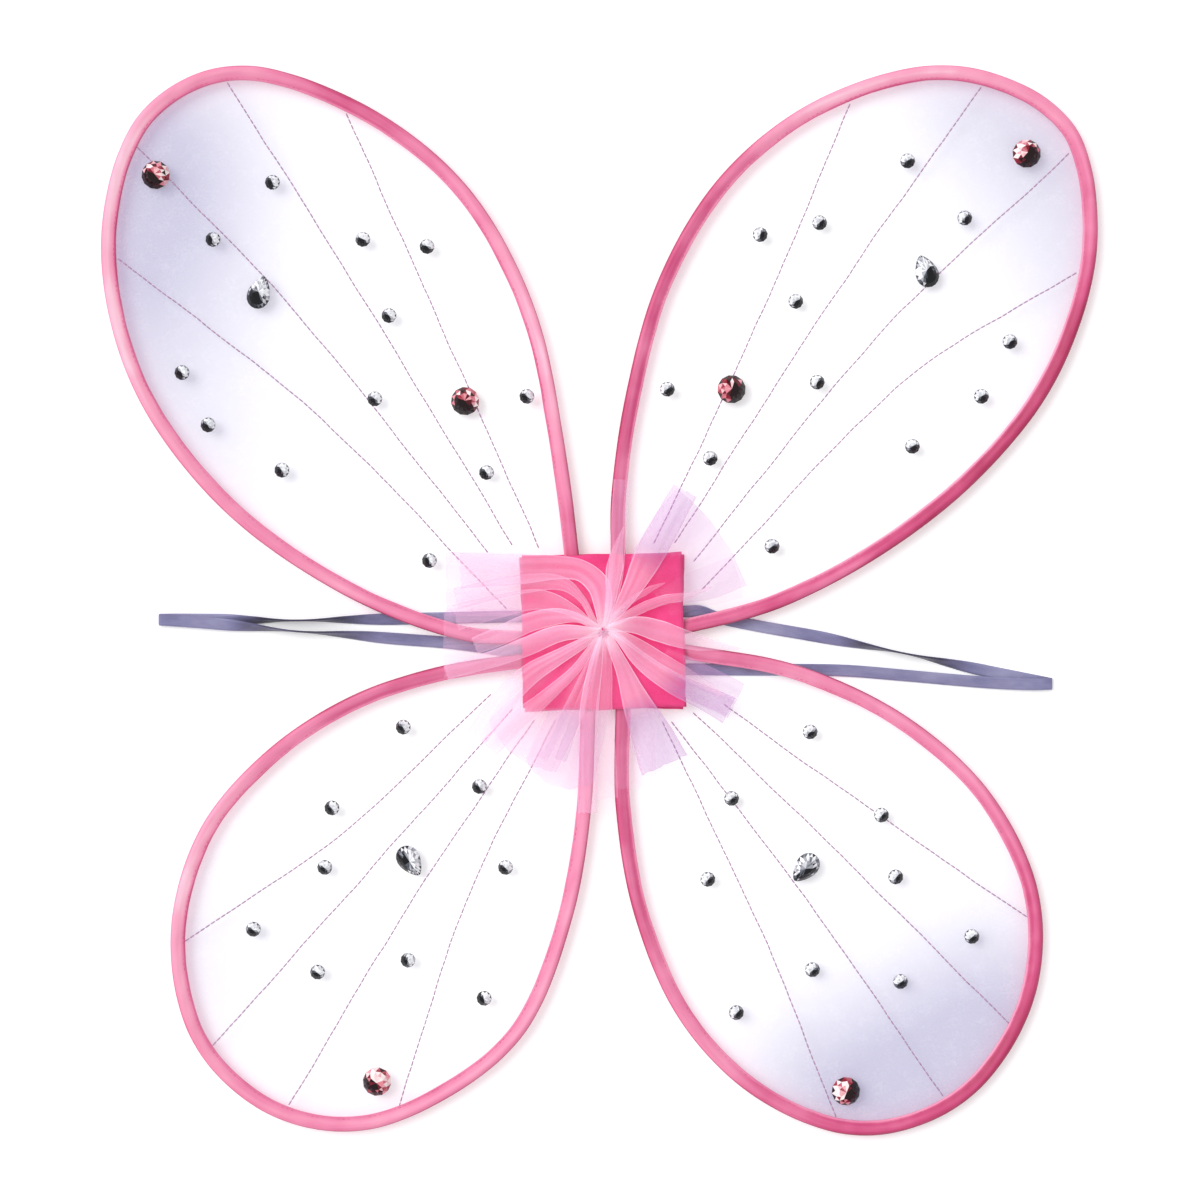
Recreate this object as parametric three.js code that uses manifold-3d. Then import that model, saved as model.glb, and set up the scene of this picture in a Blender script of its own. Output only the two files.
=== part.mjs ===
// Child's fairy wings, lying on their back: four wire loops covered with sheer organza and bound with satin
// tape, held between two felt patches, with an elastic shoulder loop on each side, glued rhinestones and a
// gathered rosette on the front patch.
//
// Millimetres. The origin is the centre of the back patch's outer face, which lies against the wearer's back.
// +Z points out of the decorated front, +Y towards the wearer's head and +X to the wearer's right.
//
// Each wing bends where its wire leaves the patches, so its wire is in two pieces that meet on that line: the
// loop, with round ends, and the bent root between the patches.

import * as THREE from "three";
import { mergeVertices } from "three/addons/utils/BufferGeometryUtils.js";
import Module from "manifold-3d";

// ---------- driving dimensions ----------

const clearance = 0.3; // between two pieces that touch

const patchWidth = 68;
const patchHeight = 65;
const patchCorner = 2; // corner radius
const feltThickness = 1.5;

const upperReach = 290; // from the origin to the far side of an upper wing
const lowerReach = 246; // and of a lower wing

const wireDiameter = 2;
const tapeThickness = 0.6; // folded satin tape, on each side of the wire
const finThickness = 0.5; // the same tape pressed flat, on each side of the organza
const bindingWidth = 6.3; // from the fold to the stitched edges
const organzaThickness = 0.3;
const organzaInset = 2; // from the wire's centre to the organza's cut edge

const hingeGap = 0.5; // from the patch's edge to the line that a wing bends on
const bareWire = 3; // wire left bare at that line, so that the binding clears the patch
const patchGap = 1.5; // from the patch's edge to the organza

const strapWidth = 5;
const strapThickness = 0.8;
const tailLength = 21; // sewn between the patches
const tailEnd = 0.9; // how far a tail stands out of the patches
const strapHinge = 1.5; // from the patch's edge to the line that a strap folds on
const strapStart = 0.2; // from that line to the strap
const strapDrop = 5.3; // from its start to where it is halfway down to the table
const tableGap = 0.2; // under a strap

const wrapSideInset = 16; // from the patch's sides
const wrapEndInset = 17.5; // and from its top and bottom
const wrapWall = 0.6; // cloth tape above and below the wire roots

const roundStone = { diameter: 12, height: 4.5, girdle: 1.2, table: 0.5 };
const pearStone = { length: 14, width: 10, height: 4, girdle: 1 };

const tieRadius = 1.2; // the sewn gather that holds the rosette
const tieCapRadius = 3;
const clothThickness = 1; // gathered layers, taken as one

const loopSteps = 36; // stations along a wing's wire
const arcSegments = 4; // half the sides of a round section
const strapStep = 5; // between stations of a strap

// ---------- heights, from the back patch's outer face up ----------

const tailBottom = feltThickness + clearance;
const strapRootHeight = tailBottom + strapThickness / 2;
const wrapBottom = tailBottom + strapThickness + clearance;
const wrapThickness = wireDiameter + 2 * clearance + 2 * wrapWall;
const wireHeight = wrapBottom + wrapThickness / 2;
const frontBottom = wrapBottom + wrapThickness + clearance;
const frontTop = frontBottom + feltThickness;

// ---------- wings ----------
// The rims are the wire's path from one edge of the patch round to the other, anticlockwise, drawn at the
// pattern's own reach. Stones lie at the pattern's scale too; a pear's tip points along its angle in degrees.

const upperPattern = 290;
const lowerPattern = 246;

const wings = {
  upper_left: {
    scale: upperReach / upperPattern,
    corner: [-1, 1],
    start: { edge: "top", at: -12 },
    rim: [
      [-17, 72],
      [-31, 137],
      [-61, 189],
      [-109, 224],
      [-158, 236],
      [-193, 217],
      [-209, 168],
      [-198, 108],
      [-161, 55],
      [-106, 16],
      [-58, -2],
    ],
    end: { edge: "side", at: -4 },
    rounds: [
      [-188, 192],
      [-58, 97],
    ],
    pear: [-144, 143, 75],
  },
  upper_right: {
    scale: upperReach / upperPattern,
    corner: [1, 1],
    start: { edge: "side", at: 1 },
    rim: [
      [72, 11],
      [118, 35],
      [159, 68],
      [190, 109],
      [206, 165],
      [195, 214],
      [150, 236],
      [97, 225],
      [54, 194],
      [26, 150],
      [11, 98],
      [5, 53],
    ],
    end: { edge: "top", at: 5 },
    rounds: [
      [178, 201],
      [54, 102],
    ],
    pear: [135, 152, 112],
  },
  lower_left: {
    scale: lowerReach / lowerPattern,
    corner: [-1, -1],
    start: { edge: "side", at: -11 },
    rim: [
      [-67, -16],
      [-106, -29],
      [-142, -53],
      [-169, -86],
      [-180, -130],
      [-170, -173],
      [-140, -201],
      [-103, -208],
      [-64, -193],
      [-34, -167],
      [-15, -121],
      [-7, -76],
    ],
    end: { edge: "bottom", at: -5 },
    rounds: [[-95, -189]],
    pear: [-80, -97, -55],
  },
  lower_right: {
    scale: lowerReach / lowerPattern,
    corner: [1, -1],
    start: { edge: "bottom", at: 7 },
    rim: [
      [7, -72],
      [15, -119],
      [35, -164],
      [68, -196],
      [110, -210],
      [151, -196],
      [178, -158],
      [182, -114],
      [163, -71],
      [128, -38],
      [82, -16],
    ],
    end: { edge: "side", at: -7 },
    rounds: [[102, -193]],
    pear: [84, -100, -130],
  },
};

// ---------- straps ----------
// Each strap is one flat elastic, out along one strand and back along the other, folded over at its far end.
// A station is x, y, the roll of the band about its path in degrees, and how many bands it lies on.

const straps = {
  left: {
    side: -1,
    out: [
      [-49, 6.2, 0, 0],
      [-66, 5.8, 0, 0],
      [-88, 5.4, -10, 0],
      [-108, 5.1, -55, 0],
      [-129, 4.8, -90, 0],
      [-148, 4.9, -50, 0],
      [-164, 5.1, 0, 0],
      [-180, 5.2, 0, 0],
      [-186.4, 5.1, 0, 0],
    ],
    back: [
      [-186.4, 5.1, 0, 1],
      [-180, 4.7, 0, 1],
      [-164, 3.5, 0, 1],
      [-148, 2, 50, 0.6],
      [-129, 0.2, 90, 0],
      [-108, -1.2, 55, 0],
      [-88, -2.9, 10, 0],
      [-66, -4.6, 0, 0],
      [-49, -6.8, 0, 0],
    ],
    roots: [6.4, -8],
  },
  right: {
    side: 1,
    out: [
      [49, 5.8, 0, 0],
      [66, 2.3, 0, 0],
      [90, -1.9, 10, 0],
      [110, -5.9, 60, 0],
      [127, -9.1, 90, 0],
      [146, -13.2, 50, 0],
      [164, -17, 0, 0],
      [180, -20.2, 0, 0],
      [188.4, -21.9, 0, 0],
    ],
    back: [
      [188.4, -21.9, 0, 1],
      [180, -22.1, 0, 1],
      [164, -21.5, -10, 0.3],
      [146, -20.1, -15, 0],
      [127, -18.4, -15, 0],
      [100, -16.3, 0, 0],
      [66, -16, 0, 0],
      [49, -15.9, 0, 0],
    ],
    roots: [8.6, -15.8],
  },
};

// ---------- helpers ----------

const wasm = await Module();
wasm.setup();

const up = new THREE.Vector3(0, 0, 1);
const across = new THREE.Vector3(0, 1, 0);
const radians = THREE.MathUtils.degToRad;

/** A path through given stations, with the direction of the section's x axis at each one. */
class Route extends THREE.Curve {
  constructor(stations, widthAt) {
    super();
    this.stations = stations;
    this.widthAt = widthAt;
  }

  getPoint(t, target = new THREE.Vector3()) {
    const at = t * (this.stations.length - 1);
    const i = Math.min(Math.floor(at), this.stations.length - 2);
    return target.lerpVectors(this.stations[i], this.stations[i + 1], at - i);
  }

  getSpacedPoints() {
    return this.stations;
  }

  computeFrenetFrames() {
    const last = this.stations.length - 1;
    const tangents = this.stations.map((_, i) => {
      const ahead = this.stations[Math.min(i + 1, last)];
      return ahead.clone().sub(this.stations[Math.max(i - 1, 0)]).normalize();
    });
    const normals = tangents.map((tangent, i) => this.widthAt(tangent, i));
    const binormals = tangents.map((tangent, i) =>
      new THREE.Vector3().crossVectors(tangent, normals[i]),
    );
    return { tangents, normals, binormals };
  }
}

/** Sweeps a shape along stations; its x axis goes along widthAt(tangent, index). */
function sweep(shape, stations, widthAt) {
  return new THREE.ExtrudeGeometry(shape, {
    steps: stations.length - 1,
    extrudePath: new Route(stations, widthAt),
    bevelEnabled: false,
    curveSegments: arcSegments,
  });
}

const inward = (tangent) => new THREE.Vector3().crossVectors(up, tangent).normalize();

function circle(radius) {
  const shape = new THREE.Shape();
  shape.absarc(0, 0, radius, 0, 2 * Math.PI, false);
  return shape;
}

function roundedRectangle(width, height, radius) {
  const x = width / 2 - radius;
  const y = height / 2 - radius;
  const shape = new THREE.Shape();
  shape.absarc(x, y, radius, 0, Math.PI / 2, false);
  shape.absarc(-x, y, radius, Math.PI / 2, Math.PI, false);
  shape.absarc(-x, -y, radius, Math.PI, 1.5 * Math.PI, false);
  shape.absarc(x, -y, radius, 1.5 * Math.PI, 2 * Math.PI, false);
  return shape;
}

function plate(shape, bottom, thickness, curveSegments = 3) {
  const options = { depth: thickness, bevelEnabled: false, curveSegments };
  return new THREE.ExtrudeGeometry(shape, options).translate(0, 0, bottom);
}

function solidOf(geometry) {
  const bare = geometry.clone();
  bare.deleteAttribute("normal");
  bare.deleteAttribute("uv");
  const merged = mergeVertices(bare, 1e-4);
  return new wasm.Manifold(
    new wasm.Mesh({
      numProp: 3,
      vertProperties: merged.attributes.position.array,
      triVerts: new Uint32Array(merged.index.array),
    }),
  );
}

function geometryOf(solid) {
  const mesh = solid.getMesh();
  const geometry = new THREE.BufferGeometry();
  geometry.setAttribute("position", new THREE.BufferAttribute(mesh.vertProperties, 3));
  geometry.setIndex(new THREE.BufferAttribute(mesh.triVerts, 1));
  geometry.computeVertexNormals();
  return geometry;
}

// ---------- materials ----------

const paint = (color, roughness, metalness = 0) =>
  new THREE.MeshStandardMaterial({ color, roughness, metalness });

const finishes = {
  felt: paint(0xf0508a, 0.9),
  satin: paint(0xf0709a, 0.35),
  organza: paint(0xe9e4f6, 0.5),
  tulle: paint(0xf7bcd6, 0.6),
  thread: paint(0xf3a6c6, 0.7),
  wire: paint(0xb8bcc2, 0.35, 1),
  clothTape: paint(0xe8e6e2, 0.8),
  elastic: paint(0x8f93ad, 0.75),
  clearStone: paint(0xe6ecf2, 0.05),
  pinkStone: paint(0xd46a80, 0.05),
};

const wingsModel = new THREE.Group();

function add(name, geometry, material) {
  const mesh = new THREE.Mesh(geometry, material);
  mesh.name = name;
  wingsModel.add(mesh);
  return mesh;
}

// ---------- patches and what they hold ----------

function patchEdge({ edge, at }, sideSign) {
  if (edge === "side") return new THREE.Vector2(sideSign * (patchWidth / 2 + hingeGap), at);
  const sign = edge === "top" ? 1 : -1;
  return new THREE.Vector2(at, sign * (patchHeight / 2 + hingeGap));
}

/** The bent root of a wing's wire, between the patches: from near one end of the loop to near the other. */
function wireRoot(stations) {
  const last = stations.length - 1;
  const past = wireDiameter / 2 + clearance;
  const inFrom = (end, next) => end.clone().add(end.clone().sub(next).setLength(past));
  const from = inFrom(stations[0], stations[1]);
  const to = inFrom(stations[last], stations[last - 1]);
  const bend = from.clone().add(to).multiplyScalar(0.12).setZ(wireHeight);
  return new THREE.QuadraticBezierCurve3(from, bend, to).getPoints(12);
}

/** The cloth tape that holds the four roots together, with a channel for each of them. */
function wireWrap(roots) {
  const width = patchWidth - 2 * wrapSideInset;
  const height = patchHeight - 2 * wrapEndInset;
  const shape = roundedRectangle(width, height, 2 * patchCorner);
  let wrap = solidOf(plate(shape, wrapBottom, wrapThickness));
  const channel = circle(wireDiameter / 2 + clearance);
  for (const root of roots) {
    // inward() runs the other way round on a root, which doesn't matter to a round section
    wrap = wrap.subtract(solidOf(sweep(channel, root, inward)));
  }
  return geometryOf(wrap);
}

function addPatches() {
  const square = roundedRectangle(patchWidth, patchHeight, patchCorner);
  add("back_patch", plate(square, 0, feltThickness), finishes.felt);
  add("front_patch", plate(square, frontBottom, feltThickness), finishes.felt);
}

// ---------- one wing ----------

/** The wire's stations: bare at both ends for a short length, then evenly spaced. */
function wireStations(wing) {
  const start = patchEdge(wing.start, wing.corner[0]);
  const end = patchEdge(wing.end, wing.corner[0]);
  const rim = wing.rim.map(([x, y]) => new THREE.Vector2(x, y).multiplyScalar(wing.scale));
  const points = [start, ...rim, end].map((p) => new THREE.Vector3(p.x, p.y, wireHeight));
  const curve = new THREE.CatmullRomCurve3(points, false, "centripetal");
  const bare = bareWire / curve.getLength();
  const between = Array.from(
    { length: loopSteps + 1 },
    (_, i) => bare + ((1 - 2 * bare) * i) / loopSteps,
  );
  return [0, ...between, 1].map((u) => curve.getPointAt(u));
}

/** A wing's loop of wire, with a round end on the line that the wing bends on. */
function wireLoop(stations) {
  const radius = wireDiameter / 2;
  const ends = [stations[0], stations[stations.length - 1]];
  let wire = solidOf(sweep(circle(radius), stations, inward));
  for (const { x, y, z } of ends) {
    const ball = new THREE.SphereGeometry(radius, 2 * arcSegments, arcSegments);
    wire = wire.add(solidOf(ball.translate(x, y, z)));
  }
  return geometryOf(wire);
}

/** Satin tape folded over the wire, its two edges pressed flat with a slot between them for the organza. */
function bindingSection() {
  const inner = wireDiameter / 2 + clearance;
  const outer = inner + tapeThickness;
  const slot = organzaThickness / 2 + clearance;
  const face = slot + finThickness;
  const edge = bindingWidth - outer;
  const outerAngle = Math.asin(face / outer);
  const innerAngle = Math.asin(slot / inner);
  const shape = new THREE.Shape();
  shape.moveTo(edge, slot);
  shape.lineTo(edge, face);
  shape.absarc(0, 0, outer, outerAngle, 2 * Math.PI - outerAngle, false);
  shape.lineTo(edge, -face);
  shape.lineTo(edge, -slot);
  shape.absarc(0, 0, inner, 2 * Math.PI - innerAngle, innerAngle, true);
  return shape;
}

/** The organza's outline: inside the loop by its inset, and cut out round the patch's corner. */
function organzaOutline(wing, stations) {
  const route = new Route(stations, inward);
  const { normals } = route.computeFrenetFrames();
  const edge = stations.map((p, i) => p.clone().addScaledVector(normals[i], organzaInset));
  const rim = edge.slice(1, -1).map((p) => new THREE.Vector2(p.x, p.y));
  const first = rim[0];
  const last = rim[rim.length - 1];
  const corner = new THREE.Vector2(
    wing.corner[0] * (patchWidth / 2 + patchGap),
    wing.corner[1] * (patchHeight / 2 + patchGap),
  );
  const endsOnSide = wing.end.edge === "side";
  const notch = endsOnSide
    ? [new THREE.Vector2(corner.x, last.y), corner, new THREE.Vector2(first.x, corner.y)]
    : [new THREE.Vector2(last.x, corner.y), corner, new THREE.Vector2(corner.x, first.y)];
  return new THREE.Shape([...rim, ...notch]);
}

/** A flat-backed round stone: girdle, faceted crown and flat table. */
function roundStoneGeometry() {
  const radius = roundStone.diameter / 2;
  const profile = [
    [0, 0],
    [radius, 0],
    [radius, roundStone.girdle],
    [radius * 0.82, roundStone.height * 0.7],
    [radius * roundStone.table, roundStone.height],
    [0, roundStone.height],
  ].map(([x, y]) => new THREE.Vector2(x, y));
  return new THREE.LatheGeometry(profile, 12).rotateX(Math.PI / 2);
}

/** A flat-backed pear stone, its tip towards +X, its crown sloping in from the girdle. */
function pearStoneGeometry() {
  const radius = pearStone.width / 2;
  const tip = pearStone.length - radius;
  const slope = 2;
  const r = radius - slope;
  const t = tip - slope * 1.6;
  const shape = new THREE.Shape();
  shape.absarc(0, 0, r, 0.3 * Math.PI, 1.7 * Math.PI, false);
  shape.lineTo(t, 0);
  const crown = pearStone.height - pearStone.girdle;
  const geometry = new THREE.ExtrudeGeometry(shape, {
    depth: pearStone.girdle,
    bevelEnabled: true,
    bevelThickness: crown,
    bevelSize: slope,
    bevelSegments: 1,
    curveSegments: 10,
  });
  const base = new THREE.BoxGeometry(60, 60, 2 * crown).translate(0, 0, -crown);
  const stone = solidOf(geometry).subtract(solidOf(base));
  return geometryOf(stone).translate(-(tip - radius) / 2, 0, 0);
}

function addWing(name, wing) {
  const stations = wireStations(wing);
  const covered = stations.slice(1, -1);
  add(`${name}_wire`, wireLoop(stations), finishes.wire);
  add(`${name}_binding`, sweep(bindingSection(), covered, inward), finishes.satin);
  const organzaBottom = wireHeight - organzaThickness / 2;
  const organza = plate(organzaOutline(wing, stations), organzaBottom, organzaThickness);
  add(`${name}_organza`, organza, finishes.organza);
  const seat = organzaBottom + organzaThickness + clearance;
  wing.rounds.forEach(([x, y], i) => {
    const stone = add(`${name}_round_stone_${i + 1}`, roundStoneGeometry(), finishes.pinkStone);
    stone.position.set(x * wing.scale, y * wing.scale, seat);
  });
  const [x, y, angle] = wing.pear;
  const pear = add(`${name}_pear_stone`, pearStoneGeometry(), finishes.clearStone);
  pear.position.set(x * wing.scale, y * wing.scale, seat);
  pear.rotation.z = radians(angle);
  return stations;
}

// ---------- straps ----------

function strapSection() {
  const x = strapWidth / 2;
  const y = strapThickness / 2;
  const cut = 0.2;
  return new THREE.Shape(
    [
      [x, y - cut],
      [x - cut, y],
      [cut - x, y],
      [-x, y - cut],
      [-x, cut - y],
      [cut - x, -y],
      [x - cut, -y],
      [x, cut - y],
    ].map(([a, b]) => new THREE.Vector2(a, b)),
  );
}

/** The height of the middle of a band at a roll, lying on the table or on so many bands. */
function bandHeight(roll, bands) {
  const edge = (strapWidth / 2) * Math.abs(Math.sin(radians(roll)));
  const face = (strapThickness / 2) * Math.cos(radians(roll));
  return tableGap + edge + face + bands * (strapThickness + clearance);
}

/** Points and rolls along one strand, about strapStep apart. Rows are x, y, z and roll. */
function strand(rows) {
  const curve = new THREE.CatmullRomCurve3(
    rows.map(([x, y, z]) => new THREE.Vector3(x, y, z)),
    false,
    "centripetal",
  );
  const stations = [];
  rows.slice(0, -1).forEach((row, i) => {
    const next = rows[i + 1];
    const apart = Math.hypot(next[0] - row[0], next[1] - row[1]);
    const count = Math.max(1, Math.round(apart / strapStep));
    for (let k = 0; k < count; k++) {
      const t = (i + k / count) / (rows.length - 1);
      stations.push({ point: curve.getPoint(t), roll: row[3] + ((next[3] - row[3]) * k) / count });
    }
  });
  const end = rows[rows.length - 1];
  stations.push({ point: new THREE.Vector3(end[0], end[1], end[2]), roll: end[3] });
  return stations;
}

/** The two stations of a strand next to the patch: at its start, and halfway down to the table. */
function strandStart(side, root) {
  const x = side * (patchWidth / 2 + strapHinge + strapStart);
  const halfway = (strapRootHeight + bandHeight(0, 0)) / 2;
  return [
    [x, root, strapRootHeight, 0],
    [x + side * strapDrop, root, halfway, 0],
  ];
}

function strapGeometry({ side, out, back, roots }) {
  const lying = ([x, y, roll, bands]) => [x, y, bandHeight(roll, bands), roll];
  const going = strand([...strandStart(side, roots[0]), ...out.map(lying)]);
  const coming = strand([...back.map(lying), ...strandStart(side, roots[1]).reverse()]);
  const folded = going[going.length - 1].point;
  const radius = (bandHeight(0, 1) - bandHeight(0, 0)) / 2;
  const fold = [-60, -30, 0, 30, 60].map((degrees) => {
    const outward = side * radius * Math.cos(radians(degrees));
    const rise = radius * (1 + Math.sin(radians(degrees)));
    return { point: folded.clone().add(new THREE.Vector3(outward, 0, rise)), roll: 0 };
  });
  const stations = [...going, ...fold, ...coming];
  const widthAt = (tangent, i) => {
    const level = across.clone().addScaledVector(tangent, -across.dot(tangent)).normalize();
    return level.applyAxisAngle(tangent, radians(stations[i].roll));
  };
  const points = stations.map((s) => s.point);
  return sweep(strapSection(), points, widthAt);
}

function addStrap(name, strap) {
  add(`${name}_strap`, strapGeometry(strap), finishes.elastic);
  strap.roots.forEach((y, i) => {
    const outer = patchWidth / 2 + tailEnd;
    const tail = new THREE.BoxGeometry(tailLength, strapWidth, strapThickness);
    tail.translate(strap.side * (outer - tailLength / 2), y, strapRootHeight);
    add(`${name}_strap_tail_${i === 0 ? "top" : "bottom"}`, tail, finishes.elastic);
  });
}

// ---------- rosette ----------

/** A gathered ring of cloth: a turned section whose height ripples round the middle. */
function gatheredRing({ heights, pleats, ripple, segments }) {
  const line = heights.map(([r, z]) => new THREE.Vector2(r, z));
  const lower = line.map((p) => new THREE.Vector2(p.x, p.y - clothThickness / 2));
  const upper = line.map((p) => new THREE.Vector2(p.x, p.y + clothThickness / 2)).reverse();
  const geometry = new THREE.LatheGeometry([...lower, ...upper, lower[0]], segments);
  geometry.rotateX(Math.PI / 2);
  const position = geometry.getAttribute("position");
  const flat = 2 * tieCapRadius; // no ripple under the tie's cap
  const rim = line[line.length - 1].x;
  for (let i = 0; i < position.count; i++) {
    const x = position.getX(i);
    const y = position.getY(i);
    const share = Math.max(0, (Math.hypot(x, y) - flat) / (rim - flat));
    const wave = Math.cos(pleats * Math.atan2(y, x)) * ripple * Math.sin(Math.PI * share ** 0.6);
    position.setZ(i, position.getZ(i) + wave);
  }
  return geometry;
}

function addRosette() {
  const inner = tieRadius + clearance;
  const base = frontTop + clearance;
  const skirt = [
    [inner, base + 3.2],
    [2 * tieCapRadius, base + 3.2],
    [14, base + 3.4],
    [30, base + 2.6],
    [48, base + 1.8],
    [62, base + 0.4],
  ];
  const crown = [
    [inner, base + 7.2],
    [2 * tieCapRadius, base + 7.2],
    [11, base + 9.2],
    [18, base + 9],
    [30, base + 7.4],
    [42, base + 5.4],
  ];
  const skirtRing = { heights: skirt, pleats: 12, ripple: 1.2, segments: 48 };
  add("rosette_skirt", gatheredRing(skirtRing), finishes.tulle);
  const crownRing = { heights: crown, pleats: 9, ripple: 1.8, segments: 36 };
  add("rosette_crown", gatheredRing(crownRing), finishes.tulle);
  const capBottom = crown[0][1] + clothThickness / 2 + clearance;
  const profile = [
    [0, base],
    [tieRadius, base],
    [tieRadius, capBottom],
    [tieCapRadius, capBottom],
    [tieCapRadius * 0.8, capBottom + 1.4],
    [0, capBottom + 2],
  ].map(([x, y]) => new THREE.Vector2(x, y));
  add("rosette_tie", new THREE.LatheGeometry(profile, 12).rotateX(Math.PI / 2), finishes.thread);
}

// ---------- the whole object ----------

addPatches();
const roots = [];
for (const [name, wing] of Object.entries(wings)) {
  const root = wireRoot(addWing(name, wing));
  add(`${name}_wire_root`, sweep(circle(wireDiameter / 2), root, inward), finishes.wire);
  roots.push(root);
}
add("wire_wrap", wireWrap(roots), finishes.clothTape);
for (const [name, strap] of Object.entries(straps)) addStrap(name, strap);
addRosette();

export default wingsModel;
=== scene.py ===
"""Child's fairy wings lying on a pale table: sheer organza on four wire loops bound with pink satin, a felt
patch with a gathered rosette, mirror-backed stones, stitched veins and grey elastic shoulder loops.

Lengths are in metres in the object's frame, and MM turns millimetres into metres.
"""

import math
import random

import bpy
import numpy as np
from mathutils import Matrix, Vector


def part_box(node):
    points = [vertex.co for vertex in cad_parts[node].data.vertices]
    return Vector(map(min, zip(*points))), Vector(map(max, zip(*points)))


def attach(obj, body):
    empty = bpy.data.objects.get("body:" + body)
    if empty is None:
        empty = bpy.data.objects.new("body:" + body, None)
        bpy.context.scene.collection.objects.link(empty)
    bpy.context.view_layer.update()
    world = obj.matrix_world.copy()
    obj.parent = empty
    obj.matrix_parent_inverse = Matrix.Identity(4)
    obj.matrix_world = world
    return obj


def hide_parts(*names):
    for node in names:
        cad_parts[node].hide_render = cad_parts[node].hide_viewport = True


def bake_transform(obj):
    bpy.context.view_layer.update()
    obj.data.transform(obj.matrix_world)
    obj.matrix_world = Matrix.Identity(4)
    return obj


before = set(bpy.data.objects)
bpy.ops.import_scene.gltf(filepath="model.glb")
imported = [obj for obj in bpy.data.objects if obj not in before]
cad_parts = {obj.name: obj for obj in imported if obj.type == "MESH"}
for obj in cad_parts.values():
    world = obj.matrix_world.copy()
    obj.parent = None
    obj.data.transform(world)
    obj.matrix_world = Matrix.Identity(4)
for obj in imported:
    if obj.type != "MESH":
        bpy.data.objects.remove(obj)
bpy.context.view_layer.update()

MM = 0.001
ABOUT_A_TURN = 6.28  # radians

# ---------- camera ----------

CAMERA_HEIGHT = 1.406
CAMERA_LENS = 100
CAMERA_SENSOR = 36
CAMERA_CENTRE = (-1.3 * MM, 13.4 * MM)


def make_camera():
    data = bpy.data.cameras.new("camera")
    data.lens = CAMERA_LENS
    data.sensor_width = CAMERA_SENSOR
    camera = bpy.data.objects.new("camera", data)
    camera.location = (*CAMERA_CENTRE, CAMERA_HEIGHT)
    bpy.context.collection.objects.link(camera)
    bpy.context.scene.camera = camera


make_camera()

# ---------- materials ----------


class Nodes:
    """A material's node tree with a Principled shader, and short ways to add to it."""

    def __init__(self, name, **sockets):
        self.material = bpy.data.materials.new(name)
        self.material.use_nodes = True
        self.tree = self.material.node_tree
        self.shader = self.tree.nodes["Principled BSDF"]
        for key, value in sockets.items():
            self.shader.inputs[key.replace("_", " ")].default_value = value

    def add(self, kind, **settings):
        node = self.tree.nodes.new(kind)
        for key, value in settings.items():
            setattr(node, key, value)
        return node

    def link(self, source, target):
        self.tree.links.new(source, target)

    def set(self, socket, source):
        self.link(source, self.shader.inputs[socket])

    def coordinates(self, kind="Object", scale=(1, 1, 1)):
        source = self.add("ShaderNodeTexCoord")
        mapping = self.add("ShaderNodeMapping")
        mapping.inputs["Scale"].default_value = scale
        self.link(source.outputs[kind], mapping.inputs["Vector"])
        return mapping.outputs["Vector"]

    def noise(self, size, vector=None, detail=3, roughness=0.55):
        """Noise with features about size metres across."""
        node = self.add("ShaderNodeTexNoise")
        node.inputs["Scale"].default_value = 1 / size
        node.inputs["Detail"].default_value = detail
        node.inputs["Roughness"].default_value = roughness
        self.link(vector or self.coordinates(), node.inputs["Vector"])
        return node.outputs["Fac"]

    def wave(self, pitch, direction="X", vector=None):
        """Lines a pitch apart, across a direction."""
        node = self.add("ShaderNodeTexWave", bands_direction=direction)
        node.inputs["Scale"].default_value = 2 * math.pi / (20 * pitch)
        self.link(vector or self.coordinates("UV"), node.inputs["Vector"])
        return node.outputs["Fac"]

    def attribute(self, name):
        return self.add("ShaderNodeAttribute", attribute_name=name).outputs["Fac"]

    def math(self, operation, a, b):
        node = self.add("ShaderNodeMath", operation=operation)
        for socket, value in zip(node.inputs, (a, b)):
            if isinstance(value, (int, float)):
                socket.default_value = value
            else:
                self.link(value, socket)
        return node.outputs[0]

    def spread(self, factor, amount):
        """A 0 to 1 factor turned into an amount about nought."""
        return self.math("MULTIPLY", self.math("SUBTRACT", factor, 0.5), amount)

    def weave(self):
        """The crossing threads of a sheer cloth."""
        return self.math("MULTIPLY", self.wave(0.0004, "X"), self.wave(0.0004, "Y"))

    def ramp(self, factor, *stops):
        """Colours in step with a factor: each stop is a place from 0 to 1 and its colour."""
        node = self.add("ShaderNodeValToRGB")
        elements = node.color_ramp.elements
        while len(elements) < len(stops):
            elements.new(0.5)
        for element, (position, colour) in zip(elements, stops):
            element.position = position
            element.color = (*colour, 1)
        self.link(factor, node.inputs["Fac"])
        return node.outputs["Color"]

    def range(self, factor, low, high):
        """A 0 to 1 factor spread over low to high."""
        node = self.add("ShaderNodeMapRange")
        node.inputs["To Min"].default_value = low
        node.inputs["To Max"].default_value = high
        self.link(factor, node.inputs["Value"])
        return node.outputs["Result"]

    def bump(self, height, distance, strength=1.0):
        node = self.add("ShaderNodeBump")
        node.inputs["Distance"].default_value = distance
        node.inputs["Strength"].default_value = strength
        self.link(height, node.inputs["Height"])
        self.set("Normal", node.outputs["Normal"])


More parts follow.
